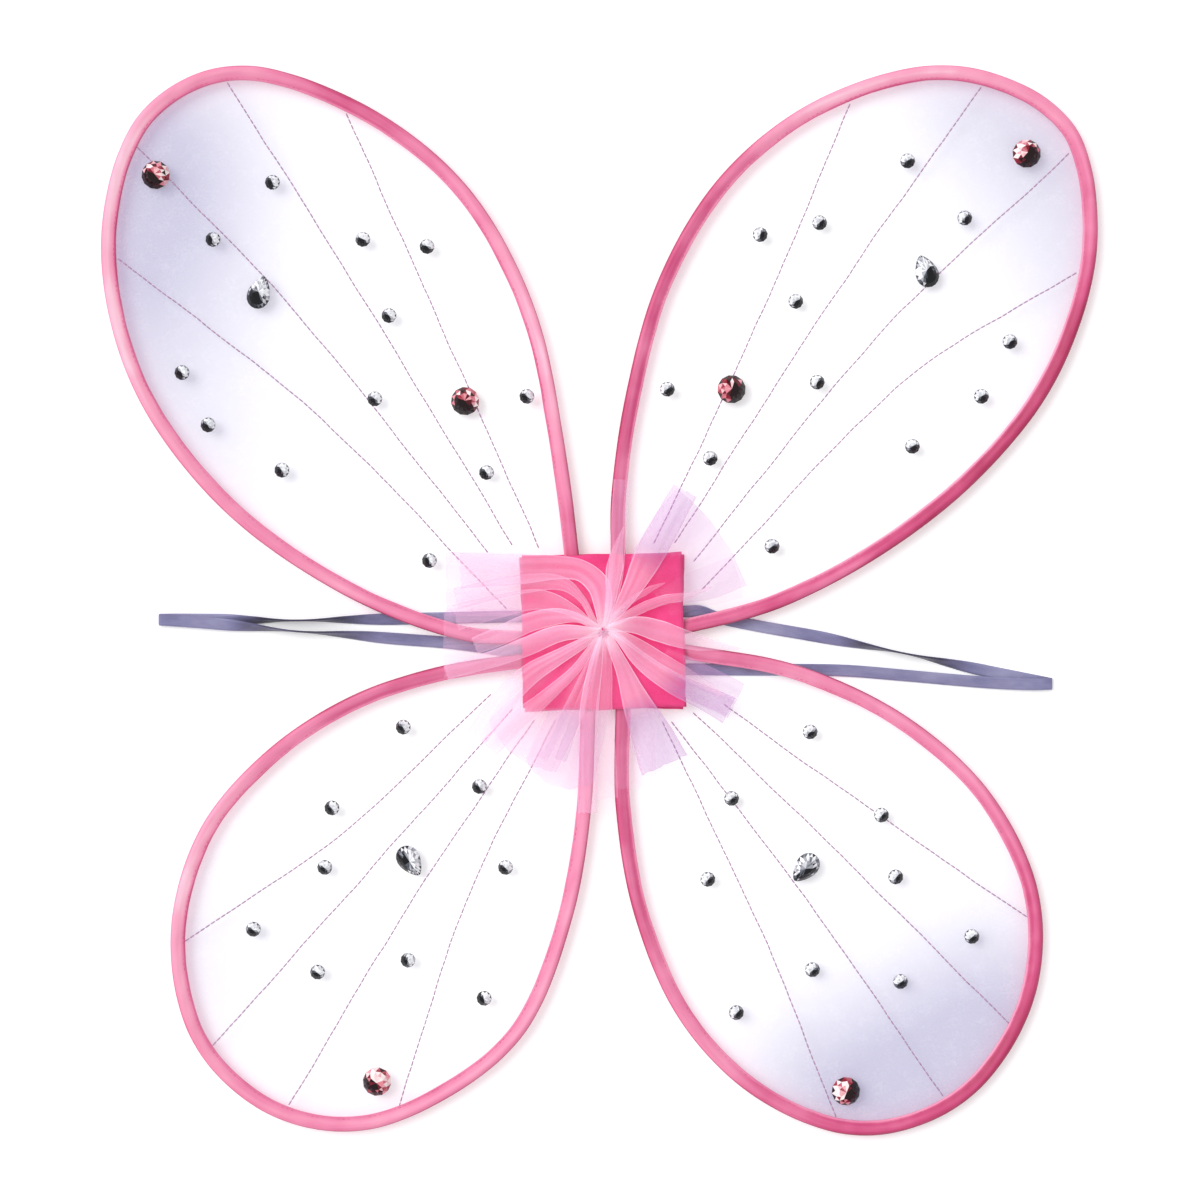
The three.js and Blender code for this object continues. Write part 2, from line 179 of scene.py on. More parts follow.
def satin_material():
    """Satin tape, its colour painted light and shade: from deep magenta where shaded to nearly white pink
    where it shines, as lit_tone goes from 0 to 1.
    """
    n = Nodes("satin", Roughness=0.36, Sheen_Weight=0.06, Sheen_Roughness=0.35, Specular_IOR_Level=0.3)
    n.shader.inputs["Sheen Tint"].default_value = (1, 0.78, 0.86, 1)
    streaks = n.noise(0.003, n.coordinates("UV", (0.06, 1, 1)), detail=2)
    creases = n.noise(0.012, n.coordinates("UV", (0.6, 1.5, 1)))
    # lit_tone is painted light and shade, with noise streaks and creases over it
    shown = n.math("ADD", n.spread(streaks, 0.4), n.attribute("lit_tone"))
    shown = n.math("ADD", n.spread(creases, 0.22), shown)
    n.set("Base Color", n.ramp(
        shown,
        (0.0, (0.34, 0.004, 0.055)),
        (0.35, (0.63, 0.075, 0.21)),
        (0.6, (0.84, 0.23, 0.4)),
        (0.85, (0.95, 0.38, 0.54)),
        (1.0, (1.0, 0.58, 0.71)),
    ))
    threads = n.wave(0.00035, "Y")
    n.bump(n.math("ADD", n.math("MULTIPLY", creases, 3), threads), 0.00005, 0.5)
    return n.material


def organza_material():
    """Sheer organza: a plain weave that lets most light through, with a painted sheen and shade that make it
    a darker lavender and more solid where sheen_shade is high.
    """
    n = Nodes("organza", Roughness=0.4, Sheen_Weight=0.25, Sheen_Roughness=0.3)
    # sheen_shade is painted sheen and shade, set per vertex round the wing
    sheen_shade = n.attribute("sheen_shade")
    clear, sheen_shade_colour = (0.62, 0.59, 0.76), (0.27, 0.25, 0.5)
    n.set("Base Color", n.ramp(sheen_shade, (0.0, clear), (1.0, sheen_shade_colour)))
    weave = n.weave()
    grain = n.math("ADD", n.noise(0.0012, detail=4, roughness=0.7), n.noise(0.006, detail=2))
    density = n.math("MULTIPLY", n.range(grain, 0.55, 1.0), n.range(weave, 0.9, 1.15))
    n.set("Alpha", n.math("MULTIPLY", n.range(sheen_shade, 0.03, 0.45), density))
    n.bump(weave, 0.00003, 0.5)
    return n.material


def tulle_material():
    """The rosette's sheer cloth, from pale pink to lilac, more solid where it's gathered or folded, with a
    painted highlight, its palest pink, at the gathers and doubled edges.

    The faint glow stands for the light that the layers below send up through it."""
    n = Nodes(
        "tulle",
        Roughness=0.5,
        Sheen_Weight=0.2,
        Sheen_Roughness=0.4,
        Emission_Color=(1, 0.62, 0.8, 1),
        Emission_Strength=0.12,
    )
    n.set("Base Color", n.ramp(
        n.attribute("lilac"),
        (0.0, (1.0, 0.78, 0.9)),
        (0.12, (1.0, 0.58, 0.84)),
        (0.4, (1.0, 0.56, 0.79)),
        (1.0, (0.44, 0.2, 0.54)),
    ))
    weave = n.weave()
    creases = n.noise(0.005, n.coordinates("UV", (0.08, 1, 1)), detail=2)
    grain = n.math("ADD", n.math("MULTIPLY", creases, 0.7), n.math("MULTIPLY", n.noise(0.0015), 0.3))
    density = n.math("MULTIPLY", n.range(grain, 0.72, 1.28), n.range(weave, 0.92, 1.1))
    n.set("Alpha", n.math("MULTIPLY", density, n.attribute("opacity")))
    n.bump(n.math("ADD", weave, n.math("MULTIPLY", creases, 6)), 0.00004, 0.5)
    return n.material


def felt_material():
    """Deep pink felt: matted fibres with a slight nap."""
    n = Nodes("felt", Roughness=0.85, Sheen_Weight=0.4, Sheen_Roughness=0.5)
    n.shader.inputs["Sheen Tint"].default_value = (1, 0.45, 0.65, 1)
    blotch = n.noise(0.014, detail=3)
    fibre = n.noise(0.0006, detail=5, roughness=0.75)
    mixed = n.math("ADD", n.math("MULTIPLY", blotch, 0.6), n.math("MULTIPLY", fibre, 0.4))
    n.set("Base Color", n.ramp(mixed, (0.35, (0.76, 0.02, 0.16)), (0.65, (0.92, 0.07, 0.27))))
    n.bump(fibre, 0.0003, 0.5)
    return n.material


def thread_material(name, colour):
    """Sewing thread: two plies twisted together."""
    n = Nodes(name, Roughness=0.6, Sheen_Weight=0.3)
    shade = n.noise(0.002)
    darker = tuple(0.7 * c for c in colour)
    n.set("Base Color", n.ramp(shade, (0.3, darker), (0.7, colour)))
    n.bump(n.wave(0.0006, "DIAGONAL", n.coordinates("UV")), 0.00005, 0.6)
    return n.material


def elastic_material():
    """Flat grey elastic: ribs along it and fine ridges across, with painted shade where it's turned on edge.
    """
    n = Nodes("elastic", Roughness=0.5, Sheen_Weight=0.3, Sheen_Roughness=0.4)
    shade = n.math("SUBTRACT", n.noise(0.01, n.coordinates("UV", (0.4, 1, 1))), n.attribute("turned"))
    stops = (0.0, (0.03, 0.025, 0.07)), (0.4, (0.2, 0.19, 0.36)), (0.7, (0.33, 0.32, 0.5))
    n.set("Base Color", n.ramp(shade, *stops))
    ribs = n.wave(0.0007, "Y")
    ridges = n.wave(0.0009, "X")
    n.bump(n.math("ADD", ribs, n.math("MULTIPLY", ridges, 0.5)), 0.00008, 0.8)
    return n.material


def stone_material(name, *colours):
    """A mirror-backed stone whose facets carry a painted reflection, darker or lighter by their facet value.
    """
    n = Nodes(name, Roughness=0.1, Specular_IOR_Level=0.3)
    haze = n.spread(n.noise(0.0015), 0.25)
    stops = zip((0.2, 0.42, 0.6, 0.85), colours)
    n.set("Base Color", n.ramp(n.math("ADD", n.attribute("facet"), haze), *stops))
    return n.material


def wire_material():
    """Drawn steel wire, with fine lines and dull patches."""
    n = Nodes("wire", Metallic=1.0)
    scuffs = n.noise(0.004)
    n.set("Base Color", n.ramp(scuffs, (0.3, (0.42, 0.42, 0.44)), (0.7, (0.62, 0.62, 0.64))))
    n.set("Roughness", n.range(scuffs, 0.25, 0.45))
    return n.material


def cloth_tape_material():
    n = Nodes("cloth_tape", Roughness=0.8)
    weave = n.noise(0.0008, detail=4)
    n.set("Base Color", n.ramp(weave, (0.3, (0.7, 0.68, 0.64)), (0.7, (0.85, 0.83, 0.8))))
    n.bump(weave, 0.0001, 0.6)
    return n.material


SATIN = satin_material()
ORGANZA = organza_material()
TULLE = tulle_material()
FELT = felt_material()
VEIN_THREAD = thread_material("vein_thread", (0.52, 0.3, 0.5))
SEAM_THREAD = thread_material("seam_thread", (0.72, 0.12, 0.27))
TIE_THREAD = thread_material("tie_thread", (0.95, 0.5, 0.7))
ELASTIC = elastic_material()
# the stones' colours run through their painted reflection, dark to light; the pink stone's are also its own
# pink
CLEAR = stone_material(
    "clear_stone", (0.004, 0.005, 0.007), (0.12, 0.13, 0.16), (0.5, 0.5, 0.56), (0.95, 0.97, 1.0)
)
PINK = stone_material(
    "pink_stone", (0.01, 0.002, 0.003), (0.3, 0.01, 0.03), (0.8, 0.26, 0.32), (1.0, 0.86, 0.86)
)
WIRE = wire_material()
CLOTH_TAPE = cloth_tape_material()

# ---------- meshes ----------


def make_object(name, verts, faces, material, uvs=None, smooth=True, attributes=None):
    """A mesh object; uvs and attributes are one value per vertex."""
    mesh = bpy.data.meshes.new(name)
    mesh.from_pydata([tuple(v) for v in verts], [], [tuple(f) for f in faces])
    mesh.materials.append(material)
    mesh.polygons.foreach_set("use_smooth", [smooth] * len(mesh.polygons))
    if uvs is not None:
        loops = np.zeros(len(mesh.loops), dtype=np.int32)
        mesh.loops.foreach_get("vertex_index", loops)
        layer = mesh.uv_layers.new(name="UVMap")
        layer.data.foreach_set("uv", np.asarray(uvs, dtype=np.float32)[loops].ravel())
    for key, values in (attributes or {}).items():
        layer = mesh.attributes.new(key, "FLOAT", "POINT")
        layer.data.foreach_set("value", np.asarray(values, dtype=np.float32))
    mesh.update()
    obj = bpy.data.objects.new(name, mesh)
    bpy.context.collection.objects.link(obj)
    return obj


def grid_faces(rows, columns, wrap=False):
    """Quads of a grid of points, joined across the last column if wrap."""
    faces = []
    for i in range(rows - 1):
        for j in range(columns - (0 if wrap else 1)):
            k = (j + 1) % columns
            here, below = i * columns, (i + 1) * columns
            faces.append((here + j, below + j, below + k, here + k))
    return faces


def tube_faces(rows, sides):
    """The faces of a tube of rows of points, closed at both ends."""
    faces = grid_faces(rows, sides, wrap=True)
    faces.append(tuple(range(sides)))
    faces.append(tuple(reversed(range((rows - 1) * sides, rows * sides))))
    return faces


def join_parts(parts):
    """Joins (verts, faces, ...values) parts, each with the same number of values, into one."""
    verts, faces, offset = [], [], 0
    values = [[] for _ in parts[0][2:]]
    for part in parts:
        verts.extend(part[0])
        faces.extend(tuple(i + offset for i in f) for f in part[1])
        for store, value in zip(values, part[2:]):
            store.extend(value)
        offset += len(part[0])
    return (verts, faces, *values)


def smooth_path(points, spacing):
    """A Catmull-Rom curve through points, sampled about spacing apart."""
    p = np.asarray(points, float)
    p = np.vstack([2 * p[0] - p[1], p, 2 * p[-1] - p[-2]])
    fine = []
    t = np.linspace(0, 1, 24, endpoint=False)[:, None]
    for a, b, c, d in zip(p, p[1:], p[2:], p[3:]):
        square, cube = 2 * a - 5 * b + 4 * c - d, 3 * b - a - 3 * c + d
        fine.append(0.5 * (2 * b + (c - a) * t + square * t**2 + cube * t**3))
    fine = np.vstack([*fine, p[-2]])
    along = lengths_along(fine)
    count = max(2, int(round(along[-1] / spacing)) + 1)
    at = np.linspace(0, along[-1], count)
    return np.stack([np.interp(at, along, fine[:, k]) for k in range(fine.shape[1])], axis=1)


def tangents_of(path):
    t = np.gradient(path, axis=0)
    return t / np.linalg.norm(t, axis=1)[:, None]


def lengths_along(path):
    return np.concatenate([[0], np.cumsum(np.linalg.norm(np.diff(path, axis=0), axis=1))])


def leftward(path):
    """The level direction to the left of a path at each of its points."""
    t = tangents_of(path)
    return np.stack([-t[:, 1], t[:, 0]], axis=1)


def ripple(*seeds):
    """A smooth random function of one or two lengths, about -1 to 1, made of five sine waves."""
    rng = random.Random(str(seeds))
    waves = [
        (rng.uniform(0.5, 1), rng.uniform(-1, 1), rng.uniform(0, ABOUT_A_TURN), i)
        for i in range(5)
    ]

    def value(x, y=0):
        total = sum(
            np.sin(ABOUT_A_TURN * (a * (1.6**i) * x + b * y) + c) / (1 + i) for a, b, c, i in waves
        )
        return total / 2.3

    return value


# ---------- the frame's own measures ----------

WIRE_HEIGHT = sum(c[2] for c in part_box("upper_left_wire")) / 2
PATCH_LOW, PATCH_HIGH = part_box("front_patch")
WINGS = ("upper_left", "upper_right", "lower_left", "lower_right")


def wire_route(wing):
    """A wing's wire from one end round to the other, anticlockwise: the top line of its CAD solid."""
    co = np.array([v.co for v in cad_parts[f"{wing}_wire"].data.vertices])
    top = co[co[:, 2] > co[:, 2].max() - 0.02 * MM]
    points = np.unique(np.round(top[:, :2], 5), axis=0)
    centre = points.mean(axis=0)
    to_hub = math.atan2(-centre[1], -centre[0])
    angle = (np.arctan2(*(points - centre).T[::-1]) - to_hub) % (2 * math.pi)
    return points[np.argsort(angle)]


ROUTES = {wing: wire_route(wing) for wing in WINGS}


def blend_over_hinge(piece):
    """Bakes the piece's placement into its mesh, so it stays where it was built."""
    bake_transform(piece)


# ---------- shoulder straps ----------
# The routes are the CAD's own. A station is x, y, the band's roll and how many bands it lies
# on, in millimetres and degrees. A strap's length is in metres, to its sewn ends.

STRAP_WIDTH = 5 * MM
STRAP_THICKNESS = 0.8 * MM
STRAP_ROOT = (35.7, 2.2)  # x and height of a strap's start
STRAP_INSIDE = 30  # x of its sewn end, between the patches
STRAP_DROP = 5.3  # from its start to where it's halfway down to the table
TABLE_GAP = 0.2
BAND_GAP = 0.3
STRAPS = {
    "left": {
        "side": -1,
        "out": [
            (-49, 6.2, 0, 0), (-66, 5.8, 0, 0), (-88, 5.4, -10, 0), (-108, 5.1, -55, 0),
            (-129, 4.8, -90, 0), (-148, 4.9, -50, 0), (-164, 5.1, 0, 0), (-180, 5.2, 0, 0),
            (-186.4, 5.1, 0, 0),
        ],
        "back": [
            (-186.4, 5.1, 0, 1), (-180, 4.7, 0, 1), (-164, 3.5, 0, 1), (-148, 2, 50, 0.6),
            (-129, 0.2, 90, 0), (-108, -1.2, 55, 0), (-88, -2.9, 10, 0), (-66, -4.6, 0, 0),
            (-49, -6.8, 0, 0),
        ],
        "roots": (6.4, -8),
        "length": 0.316,
    },
    "right": {
        "side": 1,
        "out": [
            (49, 5.8, 0, 0), (66, 2.3, 0, 0), (90, -1.9, 10, 0), (110, -5.9, 60, 0),
            (127, -9.1, 90, 0), (146, -13.2, 50, 0), (164, -17, 0, 0), (180, -20.2, 0, 0),
            (188.4, -21.9, 0, 0),
        ],
        "back": [
            (188.4, -21.9, 0, 1), (180, -22.1, 0, 1), (164, -21.5, -10, 0.3), (146, -20.1, -15, 0),
            (127, -18.4, -15, 0), (100, -16.3, 0, 0), (66, -16, 0, 0), (49, -15.9, 0, 0),
        ],
        "roots": (8.6, -15.8),
        "length": 0.323,
    },
}  # fmt: skip


def band_height(roll, bands):
    """The height of a band's middle at a roll, on the table or on so many bands, in millimetres."""
    edge = STRAP_WIDTH / MM / 2 * abs(math.sin(math.radians(roll)))
    face = STRAP_THICKNESS / MM / 2 * math.cos(math.radians(roll))
    return TABLE_GAP + edge + face + bands * (STRAP_THICKNESS / MM + BAND_GAP)


def strap_start(side, root):
    """A strand's points from between the patches to halfway down to the table."""
    x, height = STRAP_ROOT
    halfway = (height + band_height(0, 0)) / 2
    return [
        (side * STRAP_INSIDE, root, height, 0),
        (side * x, root, height, 0),
        (side * (x + STRAP_DROP), root, halfway, 0),
    ]


def strap_stations(strap):
    """Fine points and rolls along a strap, out, round its fold and back, in metres and radians."""
    side = strap["side"]
    outward, inward = (
        [(x, y, band_height(roll, bands), roll) for x, y, roll, bands in strap[strand]]
        for strand in ("out", "back")
    )
    out = smooth_path(strap_start(side, strap["roots"][0]) + outward, 1.0)
    back = smooth_path(inward + strap_start(side, strap["roots"][1])[::-1], 1.0)
    radius = (band_height(0, 1) - band_height(0, 0)) / 2
    x, y, z, roll = out[-1]
    fold = []
    for degrees in range(-75, 90, 15):
        a = math.radians(degrees)
        fold.append((x + side * radius * math.cos(a), y, z + radius * (1 + math.sin(a)), roll))
    rows = np.vstack([out, fold, back])
    return rows[:, :3] * MM, np.radians(rows[:, 3])


def make_strap(name):
    strap = STRAPS[name]
    path, rolls = strap_stations(strap)
    tangents = tangents_of(path)
    section = []
    for x in np.linspace(-1, 1, 9):
        section.append((x * STRAP_WIDTH / 2, STRAP_THICKNESS / 2 * (1 - 0.45 * x**8)))
    section += [(x, -y) for x, y in reversed(section)]
    verts, uvs, turned = [], [], []
    level = np.array((0.0, 1.0, 0.0))
    along = lengths_along(path)
    for p, t, roll, s in zip(path, tangents, rolls, along):
        w = level - t * level.dot(t)
        w /= np.linalg.norm(w)
        n = np.cross(t, w)
        a = w * math.cos(roll) + n * math.sin(roll)
        b = np.cross(t, a)
        for x, y in section:
            verts.append(p + a * x + b * y)
            uvs.append((s, x))
            # painted shade, deeper the more the band is turned on edge
            turned.append(0.55 * math.sin(roll) ** 2)
    faces = tube_faces(len(path), len(section))
    piece = make_object(f"elastic_{name}", verts, faces, ELASTIC, uvs, attributes={"turned": turned})
    blend_over_hinge(piece)
    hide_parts(f"{name}_strap", f"{name}_strap_tail_top", f"{name}_strap_tail_bottom")


for strap_name in STRAPS:
    make_strap(strap_name)

# ---------- stones and veins of each wing ----------
# Places are x and y in millimetres. A vein is the two ends of a stitched line and a point midway along it.

SMALL_STONES = {
    "upper_left": [
        (-139, 189), (-164, 165), (-101, 165), (-74, 162), (-90, 133), (-96, 98),
        (-32, 99), (-177, 109), (-166, 87), (-135, 68), (-49, 67), (-73, 30),
    ],
    "upper_right": [
        (128, 198), (91, 172), (66, 167), (152, 174), (81, 139), (27, 102),
        (90, 105), (171, 122), (159, 99), (130, 78), (45, 73), (71, 36),
    ],
    "lower_left": [
        (-84, -40), (-114, -74), (-52, -65), (-117, -99), (-41, -99), (-147, -125),
        (-120, -143), (-82, -138), (-50, -154),
    ],
    "lower_right": [
        (87, -42), (54, -70), (117, -77), (44, -104), (123, -103), (155, -128),
        (88, -142), (125, -147), (56, -160),
    ],
}  # fmt: skip

VEINS = {
    "upper_left": [
        [(-108, 218), (-75, 144), (-26, 33)],
        [(-158, 231), (-104, 145), (-36, 33)],
        [(-196, 204), (-129, 134), (-48, 33)],
        [(-204, 157), (-119, 90), (-40, 9)],
    ],
    "upper_right": [
        [(104, 222), (64, 128), (20, 34)],
        [(159, 229), (97, 141), (28, 34)],
        [(196, 201), (117, 126), (35, 26)],
        [(199, 151), (125, 104), (40, 16)],
    ],
    "lower_left": [
        [(-176, -130), (-110, -85), (-46, -25)],
        [(-164, -174), (-98, -100), (-35, -29)],
        [(-132, -199), (-81, -114), (-27, -34)],
        [(-86, -200), (-57, -112), (-19, -35)],
    ],
    "lower_right": [
        [(98, -204), (67, -127), (23, -34)],
        [(144, -197), (88, -116), (26, -34)],
        [(171, -165), (97, -91), (35, -31)],
        [(178, -120), (106, -70), (50, -30)],
    ],
}

# ---------- organza ----------

ORGANZA_EDGE = 2.6 * MM  # from the wire in to the organza's edge, inside the binding
NOTCH_CLEARANCE = 1.8 * MM  # round the patch's corner
ORGANZA_SAG = 0.9 * MM
ORGANZA_RELIEF = 0.25 * MM
ORGANZA_WAVE = 0.09  # how long the waves of its relief are


def organza_outline(wing):
    """The sheet's edge: just inside the wire, and cut out round the patch's corner."""
    route = smooth_path(ROUTES[wing][1:-1], 3 * MM)
    rim = route + leftward(route) * ORGANZA_EDGE
    x = PATCH_LOW[0] - NOTCH_CLEARANCE if "left" in wing else PATCH_HIGH[0] + NOTCH_CLEARANCE
    y = PATCH_LOW[1] - NOTCH_CLEARANCE if "lower" in wing else PATCH_HIGH[1] + NOTCH_CLEARANCE
    first, last = rim[0], rim[-1]
    ends_on_side = abs(abs(ROUTES[wing][-1][0]) - PATCH_HIGH[0]) < 2 * MM
    if ends_on_side:
        path = [last, (x, last[1]), (x, y), (first[0], y), first]
    else:
        path = [last, (last[0], y), (x, y), (x, first[1]), first]
    notch = []
    for a, b in zip(np.array(path), np.array(path[1:])):
        steps = max(1, int(np.linalg.norm(b - a) / (3 * MM)))
        notch += [a + (b - a) * k / steps for k in range(1, steps + 1)]
    return np.vstack([rim, np.array(notch[:-1])])


SHEEN_SHADE_CENTRES = {
    # where each sheet shows the most painted sheen and shade, in millimetres, the width of that patch and
    # how strong it is
    "upper_left": [((-207, 150), 78, 0.9), ((-188, 212), 52, 0.55), ((-165, 60), 50, 0.3)],
    "upper_right": [((205, 200), 62, 0.65), ((215, 130), 55, 0.4), ((150, 232), 45, 0.45)],
    "lower_left": [((-185, -140), 60, 0.5), ((-120, -225), 45, 0.35)],
    "lower_right": [((150, -195), 68, 0.95), ((180, -145), 50, 0.4), ((85, -195), 45, 0.5)],
}


def make_organza(wing):
    """A taut sheet with a slight sag and faint waves, in rings from its edge to its middle."""
    outline = organza_outline(wing)
    centre = ROUTES[wing].mean(axis=0)
    rings = 26
    wave = ripple(wing, "organza")
    verts, uvs, sheen_shade = [], [], []
    for k in range(rings):
        share = 1 - k / rings
        for p in outline:
            x, y = centre + (p - centre) * share
            sag = -ORGANZA_SAG * (1 - share**2)
            relief = ORGANZA_RELIEF * wave(x / ORGANZA_WAVE, y / ORGANZA_WAVE) * (1 - share**6)
            verts.append((x, y, WIRE_HEIGHT + sag + relief))
            uvs.append((x, y))
    verts.append((*centre, WIRE_HEIGHT - ORGANZA_SAG))
    uvs.append(tuple(centre))
    for x, y in uvs:
        # painted sheen and shade, strongest round the listed centres
        near = sum(
            share * math.exp(-((math.hypot(x / MM - cx, y / MM - cy) / width) ** 2))
            for (cx, cy), width, share in SHEEN_SHADE_CENTRES[wing]
        )
        sheen_shade.append(min(1.0, near))
    count = len(outline)
    faces = grid_faces(rings, count, wrap=True)
    last = (rings - 1) * count
    faces += [(last + j, last + (j + 1) % count, len(verts) - 1)[::-1] for j in range(count)]
    piece = make_object(f"sheer_{wing}", verts, faces, ORGANZA, uvs, attributes={"sheen_shade": sheen_shade})
    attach(piece, f"{wing}_wing")
    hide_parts(f"{wing}_organza")


def sheet_height(wing, x, y):
    """The organza's height at a point, from the same sag and waves as the sheet."""
    centre = ROUTES[wing].mean(axis=0)
    outline = OUTLINES[wing]
    angle = math.atan2(y - centre[1], x - centre[0])
    edge = np.interp(angle, outline[0], outline[1])
    share = min(1.0, math.hypot(x - centre[0], y - centre[1]) / edge)
    wave = ripple(wing, "organza")
    relief = ORGANZA_RELIEF * wave(x / ORGANZA_WAVE, y / ORGANZA_WAVE) * (1 - share**6)
    return WIRE_HEIGHT - ORGANZA_SAG * (1 - share**2) + relief


def polar_outline(wing):
    """The outline as angle and distance from the wing's middle, sorted and extended past both ends."""
    outline = organza_outline(wing) - ROUTES[wing].mean(axis=0)
    angle = np.arctan2(outline[:, 1], outline[:, 0])
    order = np.argsort(angle)
    angle, reach = angle[order], np.hypot(*outline.T)[order]
    return (
        np.concatenate([angle - 2 * math.pi, angle, angle + 2 * math.pi]),
        np.concatenate([reach, reach, reach]),
    )


OUTLINES = {wing: polar_outline(wing) for wing in WINGS}

# ---------- satin binding ----------

BINDING_OUTER = 1.85 * MM  # over the wire
BINDING_EDGE = 4.4 * MM  # from the wire in to the stitched edges
BINDING_FIN = 0.7 * MM  # half the thickness at the edge
STITCH_LINE = 3.45 * MM  # from the wire in to the row of stitches, which lies in a groove
GROOVE_DEPTH = 0.1 * MM
BINDING_TUCK = 9 * MM  # how far a binding runs on between the patches


def extended_route(wing):
    """The wire's route with straight ends that run on between the patches."""
    route = smooth_path(ROUTES[wing], 1.5 * MM)

    def tuck(end, before):
        away = (end - before) / np.linalg.norm(end - before) * BINDING_TUCK
        return [end + away * k / 6 for k in range(1, 7)]

    return np.vstack([tuck(route[0], route[3])[::-1], route, tuck(route[-1], route[-4])])


def binding_profile():
    """Half of the folded tape's outline, from the inner edge over the top to the fold: x inward, height."""
    points = [(BINDING_EDGE, 0.25 * BINDING_FIN), (BINDING_EDGE - 0.12 * MM, 0.85 * BINDING_FIN)]
    for x in (4.0, 3.7, 3.45, 3.2, 2.7, 2.1, 1.5, 0.9):
        groove = GROOVE_DEPTH * math.exp(-(((x - STITCH_LINE / MM) / 0.22) ** 2))
        rise = ((4.2 - x) / 3.3) ** 1.3 * (BINDING_OUTER - 1.25 * BINDING_FIN)
        points.append((x * MM, BINDING_FIN * 1.1 - groove + rise))
    for degrees in range(75, 180, 12):
        a = math.radians(degrees)
        points.append((BINDING_OUTER * math.cos(a), BINDING_OUTER * math.sin(a)))
    points.append((-BINDING_OUTER, 0))
    return points


# How lit the satin looks, painted light and shade: from DEEP where it turns from the light to PALE where it
# shines.
DEEP, ROSE, MID, PALE = 0.1, 0.35, 0.6, 0.85
SATIN_LIT_TONES = {
    # judged at each eighth of a turn about the wing's middle, from +X round by way of +Y
    "upper_left": (PALE, MID, ROSE, PALE, PALE, MID, MID, ROSE),
    "upper_right": (DEEP, MID, PALE, ROSE, ROSE, ROSE, ROSE, DEEP),
    "lower_left": (MID, MID, ROSE, MID, PALE, MID, MID, MID),
    "lower_right": (ROSE, MID, MID, ROSE, ROSE, MID, ROSE, DEEP),
}


def satin_tone(wing, p, x):
    """How lit the satin looks at a point on the route and a distance inward across the tape: painted light
    and shade.

    Across the tape there's painted shade at the fold, a painted sheen along the middle, and along the
    stitched edge a painted light line on deep satin and a painted shade line on pale satin."""
    centre = ROUTES[wing].mean(axis=0)
    turn = math.atan2(p[1] - centre[1], p[0] - centre[0]) / (2 * math.pi) % 1
    lit_tones = SATIN_LIT_TONES[wing]
    lit_tone = np.interp(turn * len(lit_tones), range(len(lit_tones) + 1), (*lit_tones, lit_tones[0]))
    # painted light and shade across the tape: inner is a line along the stitched edge, fold_shade darkens
    # the fold, middle is a sheen
    inner = math.exp(-(((x / MM - 4.1) / 0.7) ** 2))
    fold_shade = math.exp(-(((x / MM + 1.9) / 0.4) ** 2))
    middle = math.exp(-(((x / MM - 1) / 1.6) ** 2))
    return lit_tone + inner * (0.9 - 1.6 * lit_tone) - 0.6 * fold_shade + 0.12 * middle


def make_binding(wing):
    route = extended_route(wing)
    tangents = tangents_of(route)
    along = lengths_along(route)
    half = binding_profile()
    section = half + [(x, -y) for x, y in reversed(half[:-1])]
    pucker = ripple(wing, "pucker")
    drift = ripple(wing, "drift")
    verts, uvs, lit_tone = [], [], []
    for p, t, s in zip(route, tangents, along):
        inward = np.array((-t[1], t[0]))
        widen = 1 + 0.035 * drift(s / 0.05)
        for x, y in section:
            flat = min(1.0, max(0.0, (x / MM + 1) / 4))
            crease = 0.22 * MM * flat * pucker(s / 0.011, x / 0.006) * (1 if y > 0 else -1)
            inwards = x * widen if x > 0 else x
            q = p + inward * inwards
            verts.append((q[0], q[1], WIRE_HEIGHT + y + crease * min(1, abs(y) / (0.3 * MM))))
            uvs.append((s, x + (0 if y >= 0 else 0.01)))
            # painted light and shade, with a little random drift along the tape
            lit_tone.append(satin_tone(wing, p, x) + 0.07 * drift(s / 0.04 + 5))
    faces = tube_faces(len(route), len(section))
    piece = make_object(f"satin_{wing}", verts, faces, SATIN, uvs, attributes={"lit_tone": lit_tone})
    blend_over_hinge(piece)
    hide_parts(f"{wing}_binding")


# ---------- stitches ----------


def stitch_part(a, b, radius, sides=6):
    """One stitch: a short thread from a to b that dips into the cloth at both ends."""
    a, b = np.asarray(a, float), np.asarray(b, float)
    t = (b - a) / np.linalg.norm(b - a)
    side = np.cross(t, (0, 0, 1.0))
    side /= np.linalg.norm(side)
    upward = np.cross(side, t)
    verts, uvs = [], []
    rows = 7
    for i in range(rows):
        v = i / (rows - 1)
        bow = math.sin(math.pi * v)
        p = a + (b - a) * v + upward * radius * (1.2 * bow - 0.9)
        r = radius * (0.45 + 0.55 * bow**0.4)
        for j in range(sides):
            w = 2 * math.pi * j / sides
            verts.append(p + side * r * math.cos(w) + upward * r * math.sin(w))
            uvs.append((v * np.linalg.norm(b - a), j * 0.0002))
    return verts, tube_faces(rows, sides), uvs


def stitches_along(path, pitch, radius, share=0.72):
    """Stitches a pitch apart along a path of points in space."""
    along = lengths_along(path)
    parts = []
    count = int(along[-1] / pitch)
    for k in range(count):
        ends = []
        for at in (k * pitch, (k + share) * pitch):
            ends.append([np.interp(at, along, path[:, c]) for c in range(3)])
        parts.append(stitch_part(ends[0], ends[1], radius))
    return parts


def make_stitching(name, stitches, material, body):
    """A piece of stitching that rides on a body."""
    verts, faces, uvs = join_parts(stitches)
    piece = make_object(name, verts, faces, material, uvs)
    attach(piece, body)
    return piece


